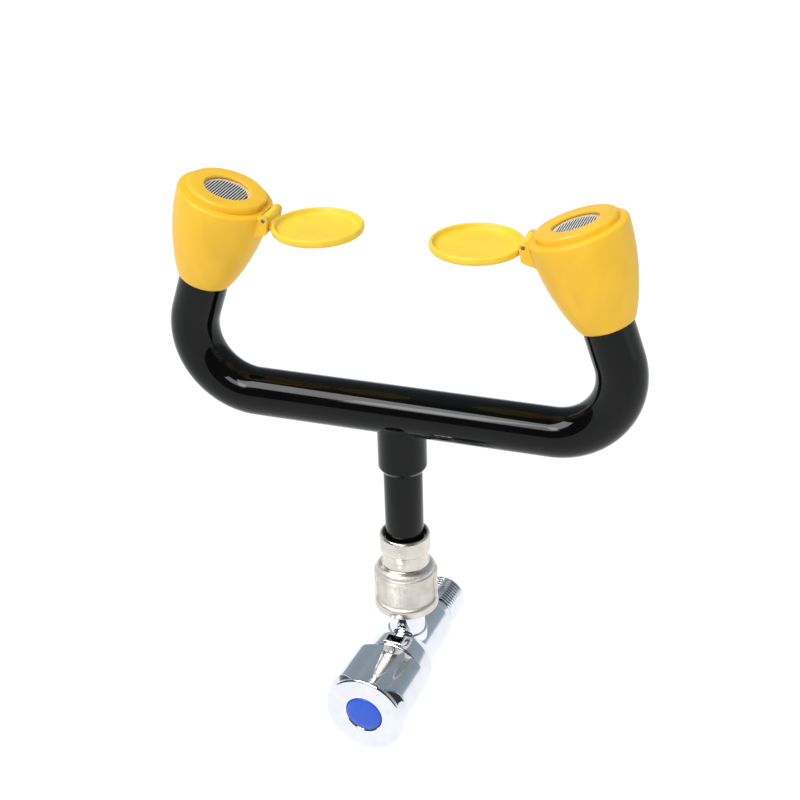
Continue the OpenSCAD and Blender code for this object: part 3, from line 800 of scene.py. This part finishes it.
class EYEWASH_OT_reducing_socket(bpy.types.Operator):
    """Cast reducing socket with its beads, wrench ribs and turned neck"""
    bl_idname = "eyewash.reducing_socket"
    bl_label = "Reducing socket"

    def execute(self, context):
        s = context.scene.eyewash_socket
        body, collar, neck = s.body_r / MM, s.collar_r / MM, s.neck_r / MM
        rim, mouth = s.rim_r / MM, s.mouth_r / MM
        top = (SOCKET_TOP - SOCKET_BOTTOM) / MM
        outline = [(10.53, 0.9), (11.2, 0.05, 0.15), (collar - 1.5, 0, 0.3), (collar, 1.3, 0.5),
            (collar, 4.0, 0.45), (collar - 0.35, 4.9, 0.4), (body, 5.6, 0.25)]
        outline += evenly((body, 6.1), (body, 18.5), 24)
        outline += [(body, 18.5), (body + 0.05, 18.75, 0.1), (body + 0.62, 19.1, 0.25),
            (body + 0.65, 20.2, 0.35), (body + 0.1, 20.75, 0.2), (body + 0.05, 21.0, 0.15),
            (body - 0.1, 21.9, 0.5), (neck + 1.5, 23.2, 0.5), (neck + 0.15, 24.0, 0.5),
            (neck, 25.6, 0.4), (neck, top - 8.7, 0.2), (rim - 0.2, top - 8.3, 0.15),
            (rim, top - 7.8, 0.2), (rim, top - 0.9, 0.25), (rim - 0.45, top - 0.2, 0.2),
            (rim - 0.7, top, 0.15), (mouth + 0.15, top, 0.12), (mouth, top - 0.3, 0.1),
            (mouth, top - 4.8), (RISER_R / MM + 0.06, top - 5.6), (RISER_R / MM + 0.06, 20),
            (6.3, 20), (6.3, 15), (10.53, 15)]
        bm = turned(outline, FINE_ROUND)
        # Two opposite ribs: both ends, half the width and the steepness of the flanks
        rib_low, rib_high, rib_half, steep = 4.4, 19.6, 3.0, 2.2
        for vert in bm.verts:
            high = vert.co.z / MM
            here = vert.co.xy.length / MM
            if body - 0.2 < here < collar - 0.15 and rib_low < high < rib_high:
                turn = atan2(vert.co.y, vert.co.x) - radians(20)
                aside = here * abs(sin(turn))
                ends = min(high - rib_low, rib_high - high) * 2
                flat = (body + 1.05) / max(0.5, abs(cos(turn)))
                rib = min(flat, here + ends, here + max(0, (rib_half - aside)) * steep)
                if aside < rib_half:
                    vert.co.xy *= soft_max(here, min(rib, collar - 0.25), 0.25) / here
        bmesh.ops.recalc_face_normals(bm, faces=bm.faces)
        moved(bm, RISER_PLACE @ Matrix.Translation((0, 0, SOCKET_BOTTOM)))
        put(bm, "cast_reducing_socket", "cast_nickel", "base", "cast_nickel", "reducing_socket",
            sharp=38)
        return {"FINISHED"}


class EYEWASH_OT_pipework(bpy.types.Operator):
    """Riser, tee socket seated on the bar, and the bent bar tube"""
    bl_idname = "eyewash.pipework"
    bl_label = "Pipework"

    def execute(self, context):
        heads, pipes = context.scene.eyewash_heads, context.scene.eyewash_pipes
        place, half = bar_place(heads, pipes)
        put(self.riser(), "riser", "black_coat", "base", "black_coat", "riser_pipe")
        put(self.tee(place, pipes), "tee", "black_coat", "base", "black_coat", "tee_socket",
            sharp=30)
        bar = moved(self.bar(half, heads, pipes), place)
        put(bar, "bent_bar", "black_coat", "base", "black_coat", "bar_tube")
        return {"FINISHED"}

    def riser(self):
        """Plain pipe with a thread at its foot."""
        radius, low, high = RISER_R / MM, RISER_BOTTOM / MM, RISER_TOP / MM
        bore = radius - PIPE_WALL
        pipe = turned([(bore, low + 9.4), (radius - 0.9, low + 9.4), (radius, low + 10.2, 0.2),
            (radius, high - 0.4, 0.3), (radius - 0.4, high), (bore, high)])
        thread = threaded(radius, RISER_PITCH, RISER_DEPTH, low, low + 9.8, bore, 1.2)
        return moved(joined(pipe, thread), RISER_PLACE)

    def tee(self, place, pipes):
        """Socket that stands under the bar and meets it in a saddle."""
        radius, bar = pipes.tee_r / MM, pipes.bar_r / MM
        low = TEE_BOTTOM / MM
        seat_low = place.translation.z / MM - bar
        inner = RISER_R / MM + 0.08
        outline = [(inner, low + 13), (inner, low + 0.35), (inner + 0.3, low, 0.1),
            (radius - 1.35, low, 0.25), (radius, low + 2.1, 0.35)]
        outline += evenly((radius, low + 3), (radius, seat_low - 3), 6)
        outline += [(radius, seat_low - 1.2), (radius, seat_low - 0.5), (radius + 0.18, seat_low),
            (radius - 1.2, seat_low + 1), (inner, seat_low + 1)]
        bm = turned(outline, FINE_ROUND)
        turn = place.to_euler().z
        for vert in bm.verts:
            rise = vert.co.z / MM - (seat_low - 3.05)
            if rise > 0:
                aside = abs(vert.co.y * cos(turn) - vert.co.x * sin(turn)) / MM
                seat = bar - sqrt(max(bar ** 2 - aside ** 2, 4.2 ** 2))
                vert.co.z += seat * min(1, rise / 2.4) * MM
        return moved(bm, RISER_PLACE)

    def bar(self, half, heads, pipes):
        """Tube drawn along its own axis from the left arm's end to the right arm's end."""
        lean, bend = heads.arm_lean, pipes.bend_r
        arm = Vector((sin(lean), 0, cos(lean))) * pipes.tube_end
        start = Vector((-half - bend * cos(lean), 0, bend * (1 + sin(lean))))
        bm = bmesh.new()
        bmesh.ops.create_circle(bm, segments=96, radius=pipes.bar_r, cap_ends=False)
        moved(bm, Matrix.Translation(start + arm) @ Matrix.Rotation(lean, 4, "Y"))
        rim = bm.edges[:]
        rim = self.drawn(bm, rim, -arm, 12)
        rim = self.bent(bm, rim, (-half, 0, bend), lean)
        rim = self.drawn(bm, rim, Vector((2 * half, 0, 0)), 40)
        rim = self.bent(bm, rim, (half, 0, bend), lean)
        self.drawn(bm, rim, Vector((-arm.x, 0, arm.z)), 12)
        grown = bmesh.ops.extrude_edge_only(bm, edges=open_edges(bm))["geom"]
        bore = (pipes.bar_r - PIPE_WALL * MM) / pipes.bar_r
        for sign in (-1, 1):
            end = Vector((sign * (half + bend * cos(lean) - arm.x), 0, start.z + arm.z))
            verts = [v for v in verts_of(grown) if v.co.x * sign > 0]
            bmesh.ops.scale(bm, vec=(bore,) * 3, verts=verts, space=Matrix.Translation(-end))
            lip = [e for e in open_edges(bm) if e.verts[0].co.x * sign > 0]
            deep = bmesh.ops.extrude_edge_only(bm, edges=lip)["geom"]
            bmesh.ops.translate(bm, verts=verts_of(deep),
                vec=Vector((sign * arm.x, 0, -arm.z)) * BORE_SHARE)
            bmesh.ops.edgeloop_fill(bm, edges=[e for e in open_edges(bm)
                if e.verts[0].co.x * sign > 0])
        return tidied(bm)

    def drawn(self, bm, rim, way, steps):
        """Draws a ring out along a straight line and returns its last ring."""
        for _ in range(steps):
            grown = bmesh.ops.extrude_edge_only(bm, edges=rim)["geom"]
            bmesh.ops.translate(bm, vec=way / steps, verts=verts_of(grown))
            rim = [e for e in edges_of(grown) if e.is_boundary]
        return rim

    def bent(self, bm, rim, centre, lean):
        """Turns a ring round a bend and returns its last ring."""
        verts = list({v for e in rim for v in e.verts})
        last = bmesh.ops.spin(bm, geom=verts + rim, cent=centre, axis=(0, 1, 0),
            angle=-(pi / 2 + lean), steps=48)["geom_last"]
        return edges_of(last)


class EYEWASH_OT_head_shells(bpy.types.Operator):
    """Spray heads: the moulded shells with their hinge lugs"""
    bl_idname = "eyewash.head_shells"
    bl_label = "Head shells"

    def execute(self, context):
        heads, pipes = context.scene.eyewash_heads, context.scene.eyewash_pipes
        for side in SIDES:
            bm = joined(self.shell(heads, pipes), *self.barrels(heads))
            moved(bm, arm_place(side, heads))
            put(bm, f"spray_head_{side}", "yellow_shell", "base", "yellow_shell",
                f"head_shell_{side}", sharp=42)
        return {"FINISHED"}

    def shell(self, heads, pipes):
        """Turned shell whose surface swells into the lug and is cut back for the knuckle."""
        low, rim_start, top = 16.0, 55.9, 57.3
        bottom, rim = heads.bottom_r / MM, heads.rim_r / MM
        bore = pipes.bar_r / MM + 0.07

        def belly(high):
            share = max(0.0, min(1.0, (high - low) / (rim_start - low)))
            return bottom + (rim - bottom) * sin(share * pi / 2) ** 0.8

        heights = [low + 0.5 + 0.55 * i for i in range(51)]
        heights += [44.2 + 0.22 * i for i in range(23)] + [49.4 + 0.4 * i for i in range(4)]
        heights += [51.0 + 0.12 * i for i in range(7)] + [52.1 + 0.42 * i for i in range(9)]
        outline = [(bore, low + 0.4), (bore + 0.2, low + 0.02), (bottom - 0.12, low, 0.1)]
        outline += [(belly(h), h) for h in heights]
        outline += [(rim, rim_start), (rim - 0.06, rim_start + 0.45),
            (rim - 0.3, rim_start + 0.92), (rim - 0.75, rim_start + 1.27), (rim - 1.3, top),
            (heads.cap_r / MM + 0.5, top - 0.06), (heads.cap_r / MM - 1.5, top - 0.1),
            (13.05, top - 0.1), (13.05, 24), (bore, 24)]
        bm = turned(outline, FINE_ROUND)
        # The lug: (height, reach) up its middle, half its width, and the rounding of its corners
        lug = ((45.2, 12.0), (47.4, 18.4), (49.6, 22.0), (51.2, 23.6), (56.0, 22.8), (57.4, 22.7))
        lug_half, soft = 8.0, 0.9
        # The knuckle's seat between the ears: its reach, its floor and half its angle
        seat_reach, seat_floor, seat_turn = 18.55, 51.3, radians(14.2)
        for vert in bm.verts:
            here, high = vert.co.xy.length / MM, vert.co.z / MM
            turn = abs(atan2(vert.co.y, vert.co.x))
            if high > 42.0 and turn < radians(50) and here > 18.6:
                reach = soft_min(between(lug, high) / cos(turn), lug_half / max(0.05, sin(turn)),
                    soft)
                if high < rim_start:
                    new = soft_max(here, reach, soft)
                else:
                    new = max(here, reach + here - rim)
                outside = max((turn - seat_turn) * 20, seat_floor - high, 0)
                new = min(new, seat_reach / cos(turn) + 12 * outside)
                vert.co.xy *= new / here
        return tidied(bm)

    def barrels(self, heads):
        """Round ends of the two ears, bored for the pin."""
        made = []
        for sign in (-1, 1):
            inner, outer = 5.05, 8.12
            bm = turned([(0.92, inner), (1.85, inner, 0.12), (2.0, inner + 0.15),
                (2.0, outer - 0.25), (1.75, outer, 0.12), (1.15, outer, 0.1),
                (0.92, outer - 0.25)], 48)
            bmesh.ops.scale(bm, vec=(1, 1, sign), verts=bm.verts)
            bmesh.ops.recalc_face_normals(bm, faces=bm.faces)
            made.append(across(bm, heads.pin_out / MM, heads.pin_up / MM))
        return made


class EYEWASH_OT_nozzles(bpy.types.Operator):
    """Raised nozzle caps and the barred screens inside them"""
    bl_idname = "eyewash.nozzles"
    bl_label = "Nozzles"

    def execute(self, context):
        heads = context.scene.eyewash_heads
        for side in SIDES:
            place = arm_place(side, heads)
            put(moved(self.cap(heads), place), f"nozzle_platform_{side}", "yellow_shell", "base",
                "yellow_shell", f"nozzle_cap_{side}", sharp=42)
            put(moved(self.screen(heads), place), f"barred_screen_{side}", "screen_steel", "base",
                "screen_steel", f"nozzle_screen_{side}")
        return {"FINISHED"}

    def cap(self, heads):
        """Raised platform with a flat towards the hinge and a lip round its opening."""
        radius, hole, top = heads.cap_r / MM, heads.nozzle_r / MM, 60.3
        bm = turned([(radius + 0.02, 57.24), (radius, 57.6), (radius - 0.08, top - 0.95, 0.35),
            (radius - 0.75, top - 0.12, 0.4), (radius - 1.6, top), (hole + 1.0, top),
            (hole + 0.45, top - 0.05, 0.15), (hole + 0.05, top - 0.45, 0.2),
            (hole, top - 1.15, 0.05), (hole + 0.95, top - 1.2), (hole + 0.95, 47.6),
            (12.95, 47.6), (12.95, 57.24)], 192)
        flat = (radius - 0.75) * MM
        for vert in bm.verts:
            if vert.co.z > 57 * MM and vert.co.x > flat:
                vert.co.x = flat + (vert.co.x - flat) * 0.12
        return bm

    def screen(self, heads):
        """Rolled rim with parallel bars that run front to back."""
        rim, hole = heads.nozzle_r / MM + 0.9, heads.nozzle_r / MM - 0.75
        top = 59.05
        parts = [turned([(hole, top - 1.1), (hole, top - 0.85, 0.1),
            (hole + 0.3, top - 0.7, 0.1), (rim - 0.3, top - 0.7), (rim, top - 0.7),
            (rim, top - 1.3), (hole + 0.3, top - 1.3)], 96)]
        pitch = 2 * hole / heads.gaps
        thick = 0.21 * pitch
        for i in range(heads.gaps - 1):
            x = (i + 1 - heads.gaps / 2) * pitch
            reach = sqrt(hole ** 2 - x ** 2) + 0.2
            bar = turned([(0, -reach), (thick, -reach), (thick, reach), (0, reach)], 12)
            bmesh.ops.scale(bar, vec=(1, 1.2, 1), verts=bar.verts)
            parts.append(across(bar, x, top - 0.45))
        return joined(*parts)


class EYEWASH_OT_dust_lids(bpy.types.Operator):
    """Flip-up dust lids on their pins, as they lie open"""
    bl_idname = "eyewash.dust_lids"
    bl_label = "Dust lids"

    def execute(self, context):
        heads, lids = context.scene.eyewash_heads, context.scene.eyewash_lids
        pin = Matrix.Translation((heads.pin_out, 0, heads.pin_up))
        rod_half = 8.06
        for side in SIDES:
            place = arm_place(side, heads)
            swing = radians(joint(f"lid_{side}_hinge")["range_deg"][1])
            opened = place @ pin @ Matrix.Rotation(swing, 4, "Y") @ pin.inverted()
            put(moved(self.lid(heads, lids), opened), f"dust_lid_{side}", "yellow_lid",
                f"lid_{side}", "yellow_lid", f"lid_{side}")
            rod = turned([(0, -rod_half), (0.7, -rod_half, 0.1), (0.88, 0.16 - rod_half),
                (0.88, rod_half - 0.16), (0.7, rod_half, 0.1), (0, rod_half)], 32)
            put(moved(across(rod, heads.pin_out / MM, heads.pin_up / MM), place),
                f"lid_pin_{side}", "pin_steel", "base", "stainless", f"hinge_pin_{side}")
        return {"FINISHED"}

    def lid(self, heads, lids):
        """Shallow cup with a rounded skirt, and the knuckle that turns on the pin."""
        outer, inner = lids.lid_r / MM, lids.inner_r / MM
        low, plate, top = 58.1, 60.6, 61.9
        cup = turned([(0, plate), (inner - 3.2, plate), (inner - 1.5, plate - 0.04, 0.8),
            (inner - 0.35, plate - 0.75, 0.5), (inner, low + 0.75, 0.4),
            (inner + 0.35, low + 0.12, 0.25), (inner + 0.9, low - 0.02, 0.25),
            (outer - 0.35, low + 0.2, 0.3), (outer, low + 0.9, 0.4), (outer, top - 1.2, 0.5),
            (outer - 1.0, top - 0.12, 0.6), (outer - 3, top), (0, top + 0.02)], 192)
        out, up = heads.pin_out / MM, heads.pin_up / MM
        half = lids.knuckle_half / MM
        web = slab([(inner + 0.4, low + 0.5), (inner + 0.4, plate), (outer, plate + 0.6),
            (out + 0.9, up + 1.75), (out, up), (out - 1.6, up + 0.4)], half, 0.22)
        knuckle = turned([(0.95, -half), (1.75, -half, 0.15), (1.98, -half + 0.25),
            (1.98, half - 0.25), (1.75, half, 0.15), (0.95, half)], 48)
        return joined(cup, web, across(knuckle, out, up))


class EYEWASH_OT_inner_parts(bpy.types.Operator):
    """Finishes of the parts held inside, which keep their own shapes"""
    bl_idname = "eyewash.inner_parts"
    bl_label = "Inner parts"

    def execute(self, context):
        finishes = {"seat_seal": "rubber", "cartridge_o_ring": "rubber",
            "spindle_o_rings": "rubber", "fixed_disc": "ceramic", "moving_disc": "ceramic",
            "cartridge_body": "brass", "spindle": "brass", "spindle_clip": "stainless",
            "handle_screw": "stainless"}
        in_each_head = {"head_gasket": "rubber", "flow_washer": "rubber", "head_bush": "brass",
            "diffuser": "white_plastic", "screen_retainer": "black_plastic",
            "foam_filter": "foam"}
        for node, name in in_each_head.items():
            for side in SIDES:
                finishes[f"{node}_{side}"] = name
        for node, name in finishes.items():
            materials = frame["nodes"][node].data.materials
            materials.clear()
            materials.append(finish_named(name))
        return {"FINISHED"}


# ---- stage ----

FLOOR_HALF = 60.0
# The point that the camera looks at
AIM = Vector((-0.0004, -0.03823, 0.1323))
# Elevation and azimuth in degrees, and strength
DAYLIGHT = (60, -12, 3.35)
# Elevation, azimuth, distance, size, power, colour, and whether it lights matt surfaces
SOFTBOXES = (
    (48.7, -32.8, 0.9, (0.60, 0.36), 6.4, (1.0, 0.99, 0.98), False),
    (40, -3, 1.0, (0.50, 0.27), 3.2, (1.0, 0.99, 0.98), False),
    (20, 88, 1.1, (0.5, 0.8), 0.5, (1.0, 1.0, 1.0), True),
    (25, -100, 1.1, (0.14, 0.9), 0.45, (0.93, 0.97, 1.0), True),
)
# Colours of the room by height, of its front, and of the plain backdrop that the camera sees
HORIZON, LOW_WALL, CEILING = (0.85, 0.87, 0.89, 1), (0.34, 0.40, 0.44, 1), (0.24, 0.29, 0.33, 1)
DARK_FRONT, BACKDROP = (0.035, 0.037, 0.040, 1), (0.95, 0.955, 0.96, 1)


def towards(elevation, azimuth):
    """Direction from the object, for angles from the horizon and from the front."""
    return Vector((sin(azimuth) * cos(elevation), -cos(azimuth) * cos(elevation), sin(elevation)))


class EYEWASH_OT_stage(bpy.types.Operator):
    """Pale floor, soft studio lights and the camera"""
    bl_idname = "eyewash.stage"
    bl_label = "Stage"

    def execute(self, context):
        s = context.scene.eyewash_stage
        low, high = CAD_BOX
        middle = (Vector(low) + Vector(high)) / 2
        bm = bmesh.new()
        bmesh.ops.create_grid(bm, x_segments=8, y_segments=8, size=FLOOR_HALF)
        bmesh.ops.translate(bm, vec=(0, 0, low[2] - s.floor_drop), verts=bm.verts)
        mesh = bpy.data.meshes.new("floor")
        bm.to_mesh(mesh)
        bm.free()
        mesh.materials.append(finish_named("pale_floor"))
        floor = linked("floor", mesh)
        self.sky(context)
        self.daylight(*DAYLIGHT)
        for box in SOFTBOXES:
            self.softbox(middle, *box)
        self.camera(context, s)
        context.scene.view_settings.view_transform = "Standard"
        return {"FINISHED"}

    def sky(self, context):
        """Studio surroundings: a cool grey room behind the object and a dark one in front.

        The reflections show the room; the backdrop itself is plain and pale.
        """
        world = bpy.data.worlds.new("studio")
        world.use_nodes = True
        context.scene.world = world
        nodes, links = world.node_tree.nodes, world.node_tree.links
        coords = nodes.new("ShaderNodeTexCoord")
        split = nodes.new("ShaderNodeSeparateXYZ")
        ceiling = nodes.new("ShaderNodeValToRGB")
        depth = nodes.new("ShaderNodeMapRange")
        room, seen = nodes.new("ShaderNodeMix"), nodes.new("ShaderNodeMix")
        room.data_type = seen.data_type = "RGBA"
        links.new(coords.outputs["Generated"], split.inputs[0])
        links.new(split.outputs["Z"], ceiling.inputs["Fac"])
        elements = ceiling.color_ramp.elements
        elements[0].position, elements[0].color = 0.02, HORIZON
        elements[1].position, elements[1].color = 0.80, CEILING
        elements.new(0.12).color = LOW_WALL
        links.new(split.outputs["Y"], depth.inputs["Value"])
        depth.inputs["From Min"].default_value = -0.35
        depth.inputs["From Max"].default_value = 0.15
        links.new(depth.outputs["Result"], room.inputs["Factor"])
        room.inputs["A"].default_value = DARK_FRONT
        links.new(ceiling.outputs["Color"], room.inputs["B"])
        camera_ray = nodes.new("ShaderNodeLightPath").outputs["Is Camera Ray"]
        links.new(camera_ray, seen.inputs["Factor"])
        links.new(room.outputs["Result"], seen.inputs["A"])
        seen.inputs["B"].default_value = BACKDROP
        links.new(seen.outputs["Result"], nodes["Background"].inputs["Color"])
        nodes["Background"].inputs["Strength"].default_value = 1.0

    def lamp(self, name, kind, power, way):
        """A light that shines back along a direction, and its object."""
        light = bpy.data.lights.new(name, kind)
        light.energy = power
        lamp = linked(name, light)
        lamp.rotation_euler = way.to_track_quat("Z", "Y").to_euler()
        return light, lamp

    def daylight(self, elevation, azimuth, strength):
        """Wide even light over the whole floor, which shows in no reflection."""
        way = towards(radians(elevation), radians(azimuth))
        light, lamp = self.lamp("daylight", "SUN", strength, way)
        light.angle = radians(70)
        lamp.visible_glossy = False

    def softbox(self, middle, elevation, azimuth, distance, size, power, tint, lights_matt):
        """A rectangular light that faces the object from a direction in degrees."""
        way = towards(radians(elevation), radians(azimuth))
        light, lamp = self.lamp("softbox", "AREA", power, way)
        light.shape = "RECTANGLE"
        light.size, light.size_y = size
        light.color = tint
        lamp.location = middle + way * distance
        lamp.visible_diffuse = lights_matt

    def camera(self, context, s):
        """Camera aimed a little above the object's middle, turned slightly about its own axis."""
        roll = s.roll
        back = towards(s.elevation, s.azimuth)
        right = (-back).cross(UP).normalized()
        up = back.cross(right)
        across_view = right * cos(roll) + up * sin(roll)
        up_view = up * cos(roll) - right * sin(roll)
        data = bpy.data.cameras.new("camera")
        data.lens = s.lens
        data.sensor_width = 36.0
        camera = linked("camera", data)
        place = Matrix((across_view, up_view, back)).transposed().to_4x4()
        place.translation = AIM + back * s.distance
        camera.matrix_world = place
        context.scene.camera = camera


PROPERTIES = {
    "eyewash_valve": ValveSizes,
    "eyewash_handle": HandleSizes,
    "eyewash_socket": SocketSizes,
    "eyewash_pipes": PipeSizes,
    "eyewash_heads": HeadSizes,
    "eyewash_lids": LidSizes,
    "eyewash_colours": FinishColours,
    "eyewash_stage": StageSizes,
}
OPERATORS = (EYEWASH_OT_valve_body, EYEWASH_OT_handle, EYEWASH_OT_reducing_socket,
    EYEWASH_OT_pipework, EYEWASH_OT_head_shells, EYEWASH_OT_nozzles, EYEWASH_OT_dust_lids,
    EYEWASH_OT_inner_parts, EYEWASH_OT_stage)


class EYEWASH_PT_pieces(bpy.types.Panel):
    """Lists the sizes, and the operators in the order that they run"""
    bl_idname = "EYEWASH_PT_pieces"
    bl_label = "Twin-head eyewash"
    bl_space_type = "VIEW_3D"
    bl_region_type = "UI"
    bl_category = "Eyewash"

    def draw(self, context):
        for operator in OPERATORS:
            self.layout.operator(operator.bl_idname)
        for name, group in PROPERTIES.items():
            box = self.layout.box()
            for size in group.__annotations__:
                box.prop(getattr(context.scene, name), size)


def register():
    for cls in (*PROPERTIES.values(), *OPERATORS, EYEWASH_PT_pieces):
        bpy.utils.register_class(cls)
    for name, group in PROPERTIES.items():
        setattr(bpy.types.Scene, name, PointerProperty(type=group))


def unregister():
    for name in PROPERTIES:
        delattr(bpy.types.Scene, name)
    for cls in (EYEWASH_PT_pieces, *reversed(OPERATORS), *PROPERTIES.values()):
        bpy.utils.unregister_class(cls)


def main():
    register()
    for operator in OPERATORS:
        group, name = operator.bl_idname.split(".")
        getattr(getattr(bpy.ops, group), name)()


if __name__ == "__main__":
    main()
